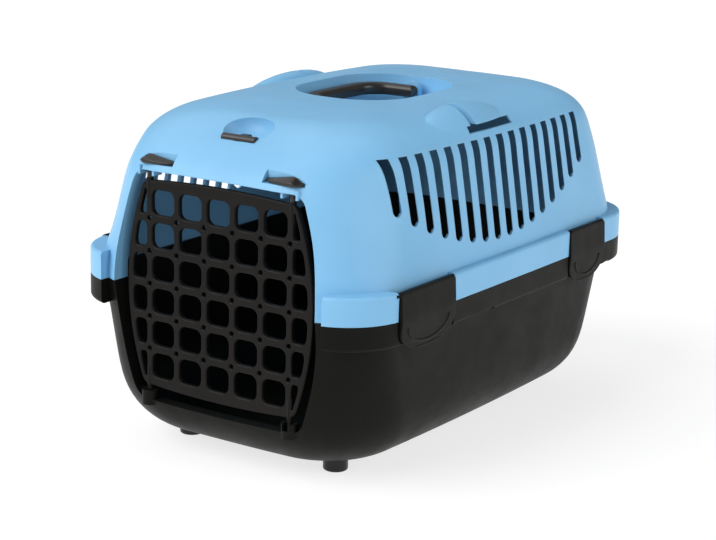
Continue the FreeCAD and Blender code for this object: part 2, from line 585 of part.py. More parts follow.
def handle():
    """A bow of grip and two legs with a trunnion on each leg, lying folded in the well."""
    body = new_body("HandleBow")
    low = size("pivot_z") - size("grip_thick") / 2
    outer = outline(new_sketch(body, "HandleOuter", "XY_Plane", low, size("well_y")), size("grip_reach"),
                    size("grip_half_y"), size("grip_corner"), size("grip_bow"), size("grip_bow"))
    pad(body, outer, "HandlePad", size("grip_thick"))
    doc.recompute()
    slim = size("grip_corner") - size("leg_width")
    inner = outline(new_sketch(body, "HandleInner", "XY_Plane", low + size("grip_thick"), size("well_y")),
                    size("grip_reach") - size("grip_width"), size("grip_half_y") - size("leg_width"), slim,
                    size("grip_bow"), size("grip_bow"))
    ends = polygon(new_sketch(body, "HandleEnds", "XY_Plane", low + size("grip_thick"), size("well_y")),
                   [(size("leg_end"), -far_out), (far_out, -far_out), (far_out, far_out), (size("leg_end"), far_out)])
    for index, sketch in enumerate((inner, ends)):
        item = body.newObject("PartDesign::Pocket", f"HandlePocket{index}")
        item.Profile = sketch
        bind(item, Length=size("grip_thick") * 2)
        doc.recompute()
    top, floor = low.value + size("grip_thick").value, low.value
    rounded(body, "HandleRound", size("grip_round"), lambda point: near(point.z, top) or near(point.z, floor))
    reach = size("grip_half_y") + size("post_gap") + size("pivot_length") - size("clip_clear")
    pins = rod("HandlePins", size("pivot_radius"), reach * 2, ZERO, size("well_y") - reach, size("pivot_z"), "y")
    between = size("grip_half_y") - size("leg_width") / 2
    clear = box("HandleClear", -far_out, far_out, size("well_y") - between, size("well_y") + between, ZERO, far_out)
    return fuse("HandleWhole", body, cut("HandleStubs", pins, clear))


def dee(half, top, side_low, low):
    """Corners of a flat-topped shape whose lower end is half an oval."""
    corners = [(-half, top)]
    for step in range(DEE_STEPS + 1):
        turn = math.pi * step / DEE_STEPS
        corners.append((half * -math.cos(turn), side_low - (side_low - low) * math.sin(turn)))
    return corners + [(half, top)]


def dee_plate(name, sign, middle, inner, outer, corners, radius=None):
    body = new_body(name)
    sketch = polygon(new_sketch(body, f"{name}Face", "YZ_Plane", inner * sign, ZERO, middle), corners)
    pad(body, sketch, f"{name}Pad", outer - inner, sign < 0)
    if radius:
        level = outer.value * sign
        rounded(body, f"{name}Round", radius, lambda point: near(point.x, level))
    return body


def clip(name, sign, middle, wide):
    """A clip that turns on the flange, covers the seam and hooks under the tray's rim."""
    axis_z, inner = size("clip_axis_z"), size("clip_in")
    plate = dee_plate(f"{name}Plate", sign, middle, inner, size("clip_out"),
                      dee(wide, axis_z, size("clip_side_low"), size("clip_tab_low")), size("clip_round"))
    line, high, low = size("clip_ridge_width"), size("clip_ridge_high"), size("clip_ridge_low")
    crest = size("clip_ridge_half")
    ridge = cut(f"{name}Ridge",
                dee_plate(f"{name}RidgeOuter", sign, middle, inner, size("clip_ridge_out"),
                          dee(crest, high + line, high, low)),
                dee_plate(f"{name}RidgeInner", sign, middle, inner - line, size("clip_ridge_out") + line,
                          dee(crest - line, high, high - line, low + line)))
    hook = box(f"{name}Hook", *sorted((size("clip_hook_in") * sign, mid_of("clip_in", "clip_out") * sign),
                                      key=lambda s: s.value),
               middle - size("clip_hook_half"), middle + size("clip_hook_half"), size("clip_hook_low"),
               size("clip_hook_high"))
    barrel = rod(f"{name}Barrel", size("clip_barrel"), wide * 2, size("clip_axis_x") * sign, middle - wide, axis_z, "y")
    pin_half = wide + size("clip_pin_length")
    pins = rod(f"{name}Pins", size("clip_pin"), pin_half * 2, size("clip_axis_x") * sign, middle - pin_half, axis_z, "y")
    return fuse(f"{name}Whole", plate, ridge, hook, barrel, pins)


def foot(name, x, y):
    body = new_body(f"{name}Body")
    sketch = new_sketch(body, f"{name}Disc", "XY_Plane", ZERO)
    radius = size("foot_radius")
    sketch.addGeometry(Part.Circle(FreeCAD.Vector(0, 0, 0), FreeCAD.Vector(0, 0, 1), radius.value), False)
    sketch.addConstraint(Sketcher.Constraint("Coincident", 0, 3, -1, 1))
    spot = sketch.addConstraint(Sketcher.Constraint("Radius", 0, radius.value))
    sketch.setExpression(f"Constraints[{spot}]", radius.text)
    pad(body, sketch, f"{name}Pad", size("foot_height"))
    rounded(body, f"{name}Round", size("foot_round"), lambda point: near(point.z, 0))
    place(body, x, y, ZERO)
    stem = rod(f"{name}Stem", size("foot_stem"), size("foot_stem_rise") * 2, x, y,
               size("foot_height") - size("foot_stem_rise"))
    return fuse(f"{name}Whole", body, stem)


def eyelet(name, side):
    """A round bar across a scoop with a short tongue that the strap's hook goes behind."""
    bar = rod(f"{name}Bar", size("eyelet_radius"), size("eyelet_half") * 2, -size("eyelet_half"),
              size("eyelet_y") * side, size("eyelet_z"), "x")
    ends = sorted((size("eyelet_y") * side, (size("eyelet_y") - size("tongue_reach")) * side), key=lambda s: s.value)
    half = size("tongue_thick") / 2
    tongue = box(f"{name}Tongue", -size("tongue_half"), size("tongue_half"), *ends, size("eyelet_z") - half,
                 size("eyelet_z") + half)
    return fuse(f"{name}Whole", bar, tongue)


nodes = {"bottom_tray": bottom_tray, "top_shell": top_shell, "door_grille": door_grille,
         "latch_left": latch("LatchLeft", -1), "latch_right": latch("LatchRight", 1), "carry_handle": handle()}
for end, middle in clip_ys.items():
    for side, sign in (("left", -1), ("right", 1)):
        nodes[f"clip_{end}_{side}"] = clip(f"Clip{end.title()}{side.title()}", sign, middle,
                                             size(f"clip_{end}_half"))
for name, spot in feet.items():
    nodes[name] = foot(name.title().replace("_", ""), *spot)
for end, side in scoop_sides:
    nodes[f"eyelet_{end}"] = eyelet(f"Eyelet{end.title()}", side)

doc.recompute()
for item in doc.Objects:
    if "Invalid" in item.State or "Error" in item.State:
        raise RuntimeError(f"{item.Name} did not build: {item.State}")
os.makedirs("parts", exist_ok=True)
for name, item in nodes.items():
    item.Label = name
    shape = item.Shape
    if shape.isNull() or not shape.isValid():
        raise RuntimeError(f"{name} has no valid shape")
    print(name, len(shape.Solids), round(shape.Volume), shape.BoundBox)
    shape.exportStep(f"parts/{name}.step")
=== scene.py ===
import json
import math

import bmesh
import bpy
from mathutils import Matrix, Vector


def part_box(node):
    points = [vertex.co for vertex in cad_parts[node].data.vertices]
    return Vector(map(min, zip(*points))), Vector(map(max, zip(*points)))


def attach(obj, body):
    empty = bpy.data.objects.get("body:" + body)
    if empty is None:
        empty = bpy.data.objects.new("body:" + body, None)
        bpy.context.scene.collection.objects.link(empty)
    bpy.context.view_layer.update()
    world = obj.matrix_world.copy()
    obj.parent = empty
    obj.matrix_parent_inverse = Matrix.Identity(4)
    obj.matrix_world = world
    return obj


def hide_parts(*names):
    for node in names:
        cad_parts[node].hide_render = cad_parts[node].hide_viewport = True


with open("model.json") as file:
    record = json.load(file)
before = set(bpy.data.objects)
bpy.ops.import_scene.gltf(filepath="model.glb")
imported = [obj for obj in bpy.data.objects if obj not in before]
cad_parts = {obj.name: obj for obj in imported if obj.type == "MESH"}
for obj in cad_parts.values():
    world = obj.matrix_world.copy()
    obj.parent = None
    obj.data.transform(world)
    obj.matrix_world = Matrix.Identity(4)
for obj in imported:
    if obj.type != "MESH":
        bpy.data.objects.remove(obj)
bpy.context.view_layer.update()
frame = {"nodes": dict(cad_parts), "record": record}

MM = 0.001
# Corners nearer to each other than this are one.
SAME_SPOT = 0.001 * MM
# Edges that turn by more than this stay crisp.
CREASE = math.radians(32)
# Kinds of node that the trees use again and again.
MATH, MIX, NOISE, SPAN = "ShaderNodeMath", "ShaderNodeMix", "ShaderNodeTexNoise", "ShaderNodeMapRange"


def linear(code):
    """An sRGB hex colour as the linear colour that a shader socket takes."""
    parts = [int(code[i:i + 2], 16) / 255 for i in (1, 3, 5)]
    return tuple(c / 12.92 if c <= 0.04045 else ((c + 0.055) / 1.055) ** 2.4 for c in parts) + (1.0,)


def node(tree, kind, feeds=None, **settings):
    """Adds a node with its settings; feeds give each input a value or the output that it is linked to."""
    made = tree.nodes.new(kind)
    for key, value in settings.items():
        setattr(made, key, value)
    for key, value in (feeds or {}).items():
        if isinstance(value, bpy.types.NodeSocket):
            tree.links.new(value, made.inputs[key])
        else:
            made.inputs[key].default_value = value
    return made


def per_mm(size):
    """The noise scale whose blotches are about this many millimetres wide."""
    return 1.0 / (size * MM)


# ------------------------------------------------------------------ finishes

# Patterns that all the skins share, in millimetres: the flow of tint, the handling strokes and the patches of
# gloss.
FLOW_SIZE, STROKE_SIZE, GLOSS_SIZE = 85, 9, 26
# The strokes are drawn out along the ground and turned a little off the piece's own directions.
STROKE_STRETCH, STROKE_TURN = (0.35, 0.35, 3.2), (0.2, 0.1, 0.4)
PLASTIC_IOR = 1.49


def moulded_skin(name, body, cloud, wear_and_edge_highlight, grain, depth, rough, spread, edge, scuff, gleam):
    """A polymer skin as it leaves the mould: a spark-eroded grain, a faint flow of tint and gloss, fine
    handling scuffs, and edges painted a little paler, partly as rubbing and partly as a painted highlight.
    Grain, depth and edge are in millimetres."""
    made = bpy.data.materials.new(name)
    made.use_nodes = True
    tree = made.node_tree
    tree.nodes.clear()
    place = node(tree, "ShaderNodeTexCoord").outputs["Object"]
    shape = node(tree, "ShaderNodeNewGeometry")
    eased = node(tree, "ShaderNodeBevel", {"Radius": edge * MM}, samples=6).outputs["Normal"]
    flow = node(tree, NOISE, {"Vector": place, "Scale": per_mm(FLOW_SIZE), "Detail": 3.0})
    tint = node(tree, SPAN, {"Value": flow.outputs["Fac"], "From Min": 0.3, "From Max": 0.7})
    colour = node(tree, MIX, {0: tint.outputs[0], 6: linear(body), 7: linear(cloud)}, data_type="RGBA")
    # scuffs: short strokes that run mostly level, as from sliding along a shelf or a seat
    strokes = node(tree, "ShaderNodeMapping", {"Vector": place, "Scale": STROKE_STRETCH,
                                               "Rotation": STROKE_TURN})
    scratch = node(tree, NOISE, {"Vector": strokes.outputs[0], "Scale": per_mm(STROKE_SIZE), "Detail": 5.0,
                                 "Roughness": 0.62})
    thin = node(tree, SPAN, {"Value": scratch.outputs["Fac"], "From Min": 0.63, "From Max": 0.74,
                             "To Max": scuff})
    # rubbed edges, painted paler: partly wear and partly a painted highlight along every edge, where the eased
    # normal leaves the true one
    lean = node(tree, "ShaderNodeVectorMath", {0: eased, 1: shape.outputs["Normal"]}, operation="DOT_PRODUCT")
    rubbed_and_highlit_edges = node(tree, SPAN, {"Value": lean.outputs["Value"], "From Min": 0.985, "From Max": 0.8,
                               "To Max": 0.3})
    scuffs_and_edge_highlights = node(tree, MATH, {0: thin.outputs[0], 1: rubbed_and_highlit_edges.outputs[0]}, operation="ADD", use_clamp=True)
    # the pale colour goes on the scuffs as wear and on the edges as wear and painted highlight
    paint = node(tree, MIX, {0: scuffs_and_edge_highlights.outputs[0], 6: colour.outputs[2], 7: linear(wear_and_edge_highlight)}, data_type="RGBA")
    sheen = node(tree, NOISE, {"Vector": place, "Scale": per_mm(GLOSS_SIZE), "Detail": 4.0, "Roughness": 0.6})
    gloss = node(tree, SPAN, {"Value": sheen.outputs["Fac"], "From Min": 0.25, "From Max": 0.75,
                              "To Min": rough - spread, "To Max": rough + spread})
    dulled = node(tree, MATH, {0: gloss.outputs[0], 1: thin.outputs[0]}, operation="ADD")
    pits = node(tree, NOISE, {"Vector": place, "Scale": per_mm(grain), "Detail": 2.0, "Roughness": 0.5})
    bump = node(tree, "ShaderNodeBump", {"Height": pits.outputs["Fac"], "Strength": 0.5,
                                         "Distance": depth * MM, "Normal": eased})
    skin = node(tree, "ShaderNodeBsdfPrincipled", {
        "Base Color": paint.outputs[2], "Roughness": dulled.outputs[0], "Normal": bump.outputs[0],
        "IOR": PLASTIC_IOR, "Specular IOR Level": gleam})
    node(tree, "ShaderNodeOutputMaterial", {"Surface": skin.outputs[0]})
    return made


# Each skin's third colour goes on its scuffs as wear and on its edges as wear and painted highlight.
# The real grains of about 0.3 mm are drawn about three times as coarse, so that they show at all.
# Polypropylene, light blue, moulded satin: soft broad highlights, and a grain that shows at a grazing angle.
light_blue_polypropylene = moulded_skin(
    "light_blue_polypropylene", "#81BBE2", "#7AB4DC", "#A8D4F0",
    grain=0.9, depth=0.05, rough=0.38, spread=0.05, edge=0.9, scuff=0.05, gleam=0.28)
# Polypropylene, anthracite, moulded with a coarser matt grain: nearly black with a faint green-grey cast.
anthracite_polypropylene = moulded_skin(
    "anthracite_polypropylene", "#0F100D", "#131410", "#2E2F2A",
    grain=1.0, depth=0.09, rough=0.46, spread=0.07, edge=0.9, scuff=0.09, gleam=0.1)
# Polypropylene, warm dark grey, moulded satin: the door's bars catch a little light along their edges.
warm_grey_polypropylene = moulded_skin(
    "warm_grey_polypropylene", "#11100F", "#161412", "#453F38",
    grain=0.9, depth=0.05, rough=0.4, spread=0.06, edge=0.8, scuff=0.08, gleam=0.14)
# The same polypropylene where fingers polish it: the levers, the handle and the strap bars shine a little more,
# and their colours are painted lighter than the door's as a painted highlight.
highlit_handled_polypropylene = moulded_skin(
    "highlit_handled_polypropylene", "#1C1916", "#24201C", "#5E5449",
    grain=0.9, depth=0.04, rough=0.32, spread=0.05, edge=0.8, scuff=0.08, gleam=0.5)
# Black thermoplastic rubber, moulded smooth: a small sharp highlight on each foot.
black_rubber = moulded_skin(
    "black_rubber", "#060607", "#09090A", "#1C1C1D",
    grain=1.2, depth=0.04, rough=0.24, spread=0.05, edge=0.6, scuff=0.06, gleam=0.4)

FINISHES = {"shell_plastic": light_blue_polypropylene, "tray_plastic": anthracite_polypropylene,
            "trim_plastic": warm_grey_polypropylene, "foot_plastic": black_rubber}
# The parts that take the polished copy whose colours are painted lighter as a painted highlight.
HIGHLIT_HANDLED = ("latch", "carry", "eyelet")
slots = {row["node"]: row["material_slot"] for row in frame["record"]["subparts"]}
bodies = {name: body for body, names in frame["record"]["behaviour"]["bodies"].items() for name in names}


def settle(piece, name):
    """Gives a finished piece its node's finish and body, and hides the node that it stands in for."""
    piece.data.materials.clear()
    # the levers, the handle and the strap bars take the copy painted lighter as a painted highlight
    piece.data.materials.append(highlit_handled_polypropylene if name.startswith(HIGHLIT_HANDLED) else FINISHES[slots[name]])
    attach(piece, bodies[name])
    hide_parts(name)


# ------------------------------------------------------------------ forms

def new_piece(name, form):
    """A mesh object at the origin from a bmesh, smooth over curves and crisp at edges."""
    for face in form.faces:
        face.smooth = True
    for edge in form.edges:
        edge.smooth = len(edge.link_faces) == 2 and edge.calc_face_angle(0.0) < CREASE
    mesh = bpy.data.meshes.new(name)
    form.to_mesh(mesh)
    form.free()
    piece = bpy.data.objects.new(name, mesh)
    bpy.context.scene.collection.objects.link(piece)
    return piece


def even_shading(piece):
    """Lets large faces rule the shading, so that narrow triangles leave no streaks."""
    even = piece.modifiers.new("even_shading", "WEIGHTED_NORMAL")
    even.keep_sharp = True
    even.weight = 60


def ease_edges(piece, width, angle):
    """Rounds the edges that turn by more than an angle in degrees, as the mould leaves them."""
    ease = piece.modifiers.new("eased_edges", "BEVEL")
    ease.width, ease.segments = width * MM, 3
    ease.limit_method, ease.angle_limit = "ANGLE", math.radians(angle)
    ease.use_clamp_overlap = False
    even_shading(piece)


TURN_STEPS = 28


def turning(form, base, axis, profile, opening=(0.0, 0.0), hollow=False):
    """Adds a turned solid about an upright or lengthwise line, from pairs of radius and place along it in
    millimetres. A hollow one closes its profile on itself, and an opening leaves out part of the turn."""
    start, stop = opening
    closed = start == stop
    rings = []
    for step in range(TURN_STEPS if closed else TURN_STEPS + 1):
        turn = stop + (math.tau - (stop - start)) * step / TURN_STEPS
        ring = []
        for radius, along in profile:
            out, round_ = radius * math.cos(turn), radius * math.sin(turn)
            spot = (out, round_, along) if axis == "z" else (out, along, -round_)
            ring.append(form.verts.new([(a + b) * MM for a, b in zip(base, spot)]))
        rings.append(ring)
    count = len(profile)
    for one, two in zip(rings, rings[1:] + (rings[:1] if closed else [])):
        for i in range(count if hollow else count - 1):
            j = (i + 1) % count
            form.faces.new((one[i], two[i], two[j], one[j]))
    if not closed:
        form.faces.new(rings[0])
        form.faces.new(list(reversed(rings[-1])))


def close_rings(form, rings):
    """Joins a row of rings into one closed form, with a face at each end."""
    count = len(rings[0])
    for one, two in zip(rings, rings[1:]):
        for i in range(count):
            j = (i + 1) % count
            form.faces.new((one[i], two[i], two[j], one[j]))
    form.faces.new(rings[0])
    form.faces.new(rings[-1])


def knit(form):
    """Joins the corners that meet and turns every face outwards."""
    bmesh.ops.remove_doubles(form, verts=form.verts, dist=SAME_SPOT)
    bmesh.ops.dissolve_degenerate(form, edges=form.edges, dist=SAME_SPOT)
    bmesh.ops.recalc_face_normals(form, faces=form.faces)


# ------------------------------------------------------------------ the shells and the plain mouldings

# The side vents in millimetres: the first one's middle along the dome, their pitch, number and half width, how
# far their inner edges are eased, and the part of the dome's sides in which they lie.
VENT_FIRST, VENT_PITCH, VENT_COUNT, VENT_HALF, VENT_RELIEF = -162.8, 20.12, 16, 5.0, 2.6
VENT_OUT, VENT_LOW, VENT_HIGH = 115, 180, 276
# A vent's wall faces along the dome at least this much and lies this near to the vent's half width; a face of
# the dome's inner skin faces along it less than the last value.
WALL_FACING, WALL_SLACK, SKIN_FACING = 0.9, 0.3, 0.5


def relieve_vents(form):
    """Opens each side vent towards the inside, as the mould's draft leaves it, so that its walls fall away."""
    form.normal_update()
    moves = {}
    for face in form.faces:
        middle = face.calc_center_median() / MM
        if abs(face.normal.y) < WALL_FACING or abs(middle.x) < VENT_OUT or not VENT_LOW < middle.z < VENT_HIGH:
            continue
        number = round((middle.y - VENT_FIRST) / VENT_PITCH)
        aside = middle.y - (VENT_FIRST + VENT_PITCH * number)
        if 0 <= number < VENT_COUNT and abs(abs(aside) - VENT_HALF) < WALL_SLACK:
            for vert in face.verts:
                if any(other.normal.x * vert.co.x < 0 and abs(other.normal.y) < SKIN_FACING
                       for other in vert.link_faces):
                    moves[vert] = math.copysign(VENT_RELIEF * MM, aside)
    for vert, move in moves.items():
        vert.co.y += move


# Heights of the dome's front shoulders and how far they are drawn in there, in millimetres.
SHOULDER_PULL = [(176, 0.0), (190, 1.6), (230, 2.6), (255, 3.4), (264, 2.4), (273, 0.4), (280, 0.0)]
# The shoulders lie round a direction in degrees, seen from a hub on the middle line, and fade out beside it.
SHOULDER_HUB, SHOULDER_TURN, SHOULDER_SPREAD = -90.0, 36.0, 20.0
# They are drawn towards the middle line and towards the back in these shares.
SHOULDER_INWARD, SHOULDER_BACKWARD = 0.83, 0.56


def draw_in_shoulders(form):
    """Draws in the dome's two front corners, from the door's jambs to the vents, most below the roof's edge."""
    for vert in form.verts:
        x, y, z = vert.co / MM
        turn = math.degrees(math.atan2(SHOULDER_HUB - y, abs(x)))
        near = max(0.0, 1.0 - abs(turn - SHOULDER_TURN) / SHOULDER_SPREAD)
        for (low, less), (high, more) in zip(SHOULDER_PULL, SHOULDER_PULL[1:]):
            if near and low <= z < high:
                pull = (less + (more - less) * (z - low) / (high - low)) * near * near * (3.0 - 2.0 * near)
                inward = -math.copysign(SHOULDER_INWARD * pull, x)
                vert.co += Vector((inward, SHOULDER_BACKWARD * pull, 0.0)) * MM
                break


def moulding(name):
    """A node's own form with its corners joined, for shading as one moulded skin."""
    form = bmesh.new()
    form.from_mesh(frame["nodes"][name].data)
    bmesh.ops.remove_doubles(form, verts=form.verts, dist=SAME_SPOT)
    if name == "top_shell":
        relieve_vents(form)
        draw_in_shoulders(form)
    piece = new_piece(f"{name}_moulding", form)
    even_shading(piece)
    settle(piece, name)


# ------------------------------------------------------------------ the door

DOOR_COLUMNS, DOOR_ROWS = 7, 6


def door_lattice():
    """The door's plate: a barrel outline pierced by rounded windows and a round hole at each crossing."""
    tree = bpy.data.node_groups.new("door_lattice", "GeometryNodeTree")
    lengths = ("Half Width", "Half Height", "Corner", "Side Bow", "End Bow", "Border", "Pitch X", "Pitch Z",
               "Window Width", "Window Height", "Window Corner", "Narrowest", "Hole Radius", "Thickness")
    for title in lengths:
        tree.interface.new_socket(title, in_out="INPUT", socket_type="NodeSocketFloat")
    tree.interface.new_socket("Place", in_out="INPUT", socket_type="NodeSocketVector")
    tree.interface.new_socket("Material", in_out="INPUT", socket_type="NodeSocketMaterial")
    tree.interface.new_socket("Geometry", in_out="OUTPUT", socket_type="NodeSocketGeometry")
    size = node(tree, "NodeGroupInput").outputs
    position = node(tree, "GeometryNodeInputPosition").outputs[0]
    spot = node(tree, "ShaderNodeSeparateXYZ", {0: position}).outputs
    # the plate's sides and ends swell towards their middles, so away from those they are drawn in
    across = node(tree, MATH, {0: spot["X"], 1: size["Half Width"]}, operation="DIVIDE").outputs[0]
    upward = node(tree, MATH, {0: spot["Y"], 1: size["Half Height"]}, operation="DIVIDE").outputs[0]
    across_2 = node(tree, MATH, {0: across, 1: 2.0}, operation="POWER").outputs[0]
    upward_2 = node(tree, MATH, {0: upward, 1: 2.0}, operation="POWER").outputs[0]
    side_pull = node(tree, MATH, {0: upward_2, 1: size["Side Bow"]}, operation="MULTIPLY").outputs[0]
    end_pull = node(tree, MATH, {0: across_2, 1: size["End Bow"]}, operation="MULTIPLY").outputs[0]
    width = node(tree, MATH, {0: size["Half Width"], 1: 2.0}, operation="MULTIPLY").outputs[0]
    height = node(tree, MATH, {0: size["Half Height"], 1: 2.0}, operation="MULTIPLY").outputs[0]
    rim = node(tree, "GeometryNodeCurvePrimitiveQuadrilateral", {"Width": width, "Height": height})
    rim = node(tree, "GeometryNodeFilletCurve", {"Curve": rim.outputs[0], "Radius": size["Corner"],
                                                 "Count": 10, "Limit Radius": True}, mode="POLY")
    rim = node(tree, "GeometryNodeResampleCurve", {"Curve": rim.outputs[0], "Length": 2.0 * MM},
               mode="LENGTH")
    slim_x = node(tree, MATH, {0: across, 1: side_pull}, operation="MULTIPLY").outputs[0]
    slim_y = node(tree, MATH, {0: upward, 1: end_pull}, operation="MULTIPLY").outputs[0]
    slim = node(tree, "ShaderNodeCombineXYZ", {"X": slim_x, "Y": slim_y})
    slim = node(tree, "ShaderNodeVectorMath", {0: slim.outputs[0], 1: (-1.0, -1.0, 0.0)},
                operation="MULTIPLY")
    barrel = node(tree, "GeometryNodeSetPosition", {"Geometry": rim.outputs[0], "Offset": slim.outputs[0]})

    # windows on a grid; the two outer columns are squeezed between their bar and the border
    columns = node(tree, MATH, {0: size["Pitch X"], 1: DOOR_COLUMNS - 1.0}, operation="MULTIPLY").outputs[0]
    rows = node(tree, MATH, {0: size["Pitch Z"], 1: DOOR_ROWS - 1.0}, operation="MULTIPLY").outputs[0]
    grid = node(tree, "GeometryNodeMeshGrid", {"Size X": columns, "Size Y": rows,
                                               "Vertices X": DOOR_COLUMNS, "Vertices Y": DOOR_ROWS})
    pane = node(tree, "GeometryNodeCurvePrimitiveQuadrilateral", {"Width": size["Window Width"],
                                                                  "Height": size["Window Height"]})
    pane = node(tree, "GeometryNodeFilletCurve", {"Curve": pane.outputs[0], "Radius": size["Window Corner"],
                                                  "Count": 8, "Limit Radius": True}, mode="POLY")
    pane = node(tree, "GeometryNodeResampleCurve", {"Curve": pane.outputs[0], "Length": 1.0 * MM},
                mode="LENGTH")
    panes = node(tree, "GeometryNodeInstanceOnPoints", {"Points": grid.outputs[0],
                                                        "Instance": pane.outputs[0]})
    panes = node(tree, "GeometryNodeRealizeInstances", {"Geometry": panes.outputs[0]})
    reach = node(tree, MATH, {0: spot["X"]}, operation="ABSOLUTE").outputs[0]
    way = node(tree, MATH, {0: spot["X"]}, operation="SIGN").outputs[0]
    half_pane = node(tree, MATH, {0: size["Window Width"], 1: -0.5}, operation="MULTIPLY").outputs[0]
    bar = node(tree, MATH, {0: columns, 1: 0.5, 2: half_pane}, operation="MULTIPLY_ADD").outputs[0]
    beyond = node(tree, MATH, {0: reach, 1: bar}, operation="SUBTRACT").outputs[0]
    beyond = node(tree, MATH, {0: beyond, 1: 0.0}, operation="MAXIMUM").outputs[0]
    room = node(tree, MATH, {0: size["Half Width"], 1: size["Border"]}, operation="SUBTRACT").outputs[0]
    room = node(tree, MATH, {0: room, 1: side_pull}, operation="SUBTRACT").outputs[0]
    room = node(tree, MATH, {0: room, 1: bar}, operation="SUBTRACT").outputs[0]
    room = node(tree, MATH, {0: room, 1: size["Narrowest"]}, operation="MAXIMUM").outputs[0]
    squeeze = node(tree, MATH, {0: room, 1: size["Window Width"]}, operation="DIVIDE").outputs[0]
    squeeze = node(tree, MATH, {0: squeeze, 1: 1.0}, operation="SUBTRACT").outputs[0]
    kept = node(tree, MATH, {0: beyond, 1: squeeze, 2: reach}, operation="MULTIPLY_ADD").outputs[0]
    kept = node(tree, MATH, {0: kept, 1: way}, operation="MULTIPLY").outputs[0]
    pane_place = node(tree, "ShaderNodeCombineXYZ", {"X": kept, "Y": spot["Y"]})
    panes = node(tree, "GeometryNodeSetPosition", {"Geometry": panes.outputs[0],
                                                   "Position": pane_place.outputs[0]})

    # a small round hole where the bars cross
    inner_columns = node(tree, MATH, {0: size["Pitch X"], 1: DOOR_COLUMNS - 2.0}, operation="MULTIPLY")
    inner_rows = node(tree, MATH, {0: size["Pitch Z"], 1: DOOR_ROWS - 2.0}, operation="MULTIPLY")
    crossings = node(tree, "GeometryNodeMeshGrid", {
        "Size X": inner_columns.outputs[0], "Size Y": inner_rows.outputs[0],
        "Vertices X": DOOR_COLUMNS - 1, "Vertices Y": DOOR_ROWS - 1})
    hole = node(tree, "GeometryNodeCurvePrimitiveCircle", {"Radius": size["Hole Radius"], "Resolution": 20})
    holes = node(tree, "GeometryNodeInstanceOnPoints", {"Points": crossings.outputs[0],
                                                        "Instance": hole.outputs[0]})

    # the outlines filled, given a thickness and a back, and stood up in the doorway
    outlines = node(tree, "GeometryNodeJoinGeometry")
    for part in (barrel, panes, holes):
        tree.links.new(part.outputs[0], outlines.inputs[0])
    whole = node(tree, "GeometryNodeRealizeInstances", {"Geometry": outlines.outputs[0]})
    sheet = node(tree, "GeometryNodeFillCurve", {"Curve": whole.outputs[0]}, mode="NGONS")
    raised = node(tree, "GeometryNodeExtrudeMesh", {"Mesh": sheet.outputs[0], "Individual": False,
                                                    "Offset Scale": size["Thickness"]}, mode="FACES")
    back = node(tree, "GeometryNodeFlipFaces", {"Mesh": sheet.outputs[0]})
    plate = node(tree, "GeometryNodeJoinGeometry")
    for part in (raised, back):
        tree.links.new(part.outputs[0], plate.inputs[0])
    closed = node(tree, "GeometryNodeMergeByDistance", {"Geometry": plate.outputs[0], "Distance": 0.02 * MM})
    stood = node(tree, "GeometryNodeTransform", {"Geometry": closed.outputs[0], "Translation": size["Place"],
                                                 "Rotation": (math.pi / 2, 0.0, 0.0)})
    real = node(tree, "GeometryNodeRealizeInstances", {"Geometry": stood.outputs[0]})
    dressed = node(tree, "GeometryNodeSetMaterial", {"Geometry": real.outputs[0],
                                                     "Material": size["Material"]})
    node(tree, "NodeGroupOutput", {"Geometry": dressed.outputs[0]})
    return tree


def grown(tree, name, sizes):
    """Runs a node tree with its sizes and keeps the result as a plain mesh object."""
    seed = bpy.data.objects.new(f"{name}_seed", bpy.data.meshes.new(f"{name}_seed"))
    bpy.context.scene.collection.objects.link(seed)
    grow = seed.modifiers.new("grow", "NODES")
    grow.node_group = tree
    for socket in tree.interface.items_tree:
        if socket.in_out == "INPUT":
            grow[socket.identifier] = sizes[socket.name]
    bpy.context.view_layer.update()
    result = seed.evaluated_get(bpy.context.evaluated_depsgraph_get())
    form = bmesh.new()
    form.from_mesh(bpy.data.meshes.new_from_object(result))
    bpy.data.objects.remove(seed)
    return new_piece(name, form)


door = grown(door_lattice(), "door_lattice_plate", {
    "Half Width": 97 * MM, "Half Height": 92.5 * MM, "Corner": 6 * MM, "Side Bow": 17.5 * MM,
    "End Bow": 3.5 * MM, "Border": 5.5 * MM, "Pitch X": 29.3 * MM, "Pitch Z": 28.5 * MM,
    "Window Width": 23.4 * MM, "Window Height": 21.6 * MM, "Window Corner": 6.5 * MM, "Narrowest": 2.2 * MM,
    "Hole Radius": 2.0 * MM, "Thickness": 5.0 * MM, "Place": (0.0, -217.0 * MM, 150.9 * MM),
    "Material": warm_grey_polypropylene})
ease_edges(door, width=1.2, angle=50)
settle(door, "door_grille")

# The two upright lines on which the door's corners are held, and what is turned about them: pairs of radius and
# height in millimetres.
HINGE_X, HINGE_Y = 74.0, -219.5
UPPER_BOSS = [(0, 224), (2.6, 224), (3.0, 224.4), (3.0, 231), (0, 231)]
PIN_EYE = [(2.55, 230.9), (3.0, 230.9), (3.0, 242.2), (2.8, 242.5), (2.55, 242.5)]
LOWER_BOSS_AND_PIN = [(0, 51), (2.0, 51), (2.5, 51.5), (2.5, 60.5), (2.7, 60.5), (3.0, 60.8), (3.0, 77.6),
                      (2.6, 78), (0, 78)]
LEVER_PIN = [(0, 233), (2.0, 233), (2.5, 233.5), (2.5, 257), (0, 257)]
# The right eye is open behind by this much to each side, so that the pin leaves it when the door swings.
EYE_GAP = 0.9

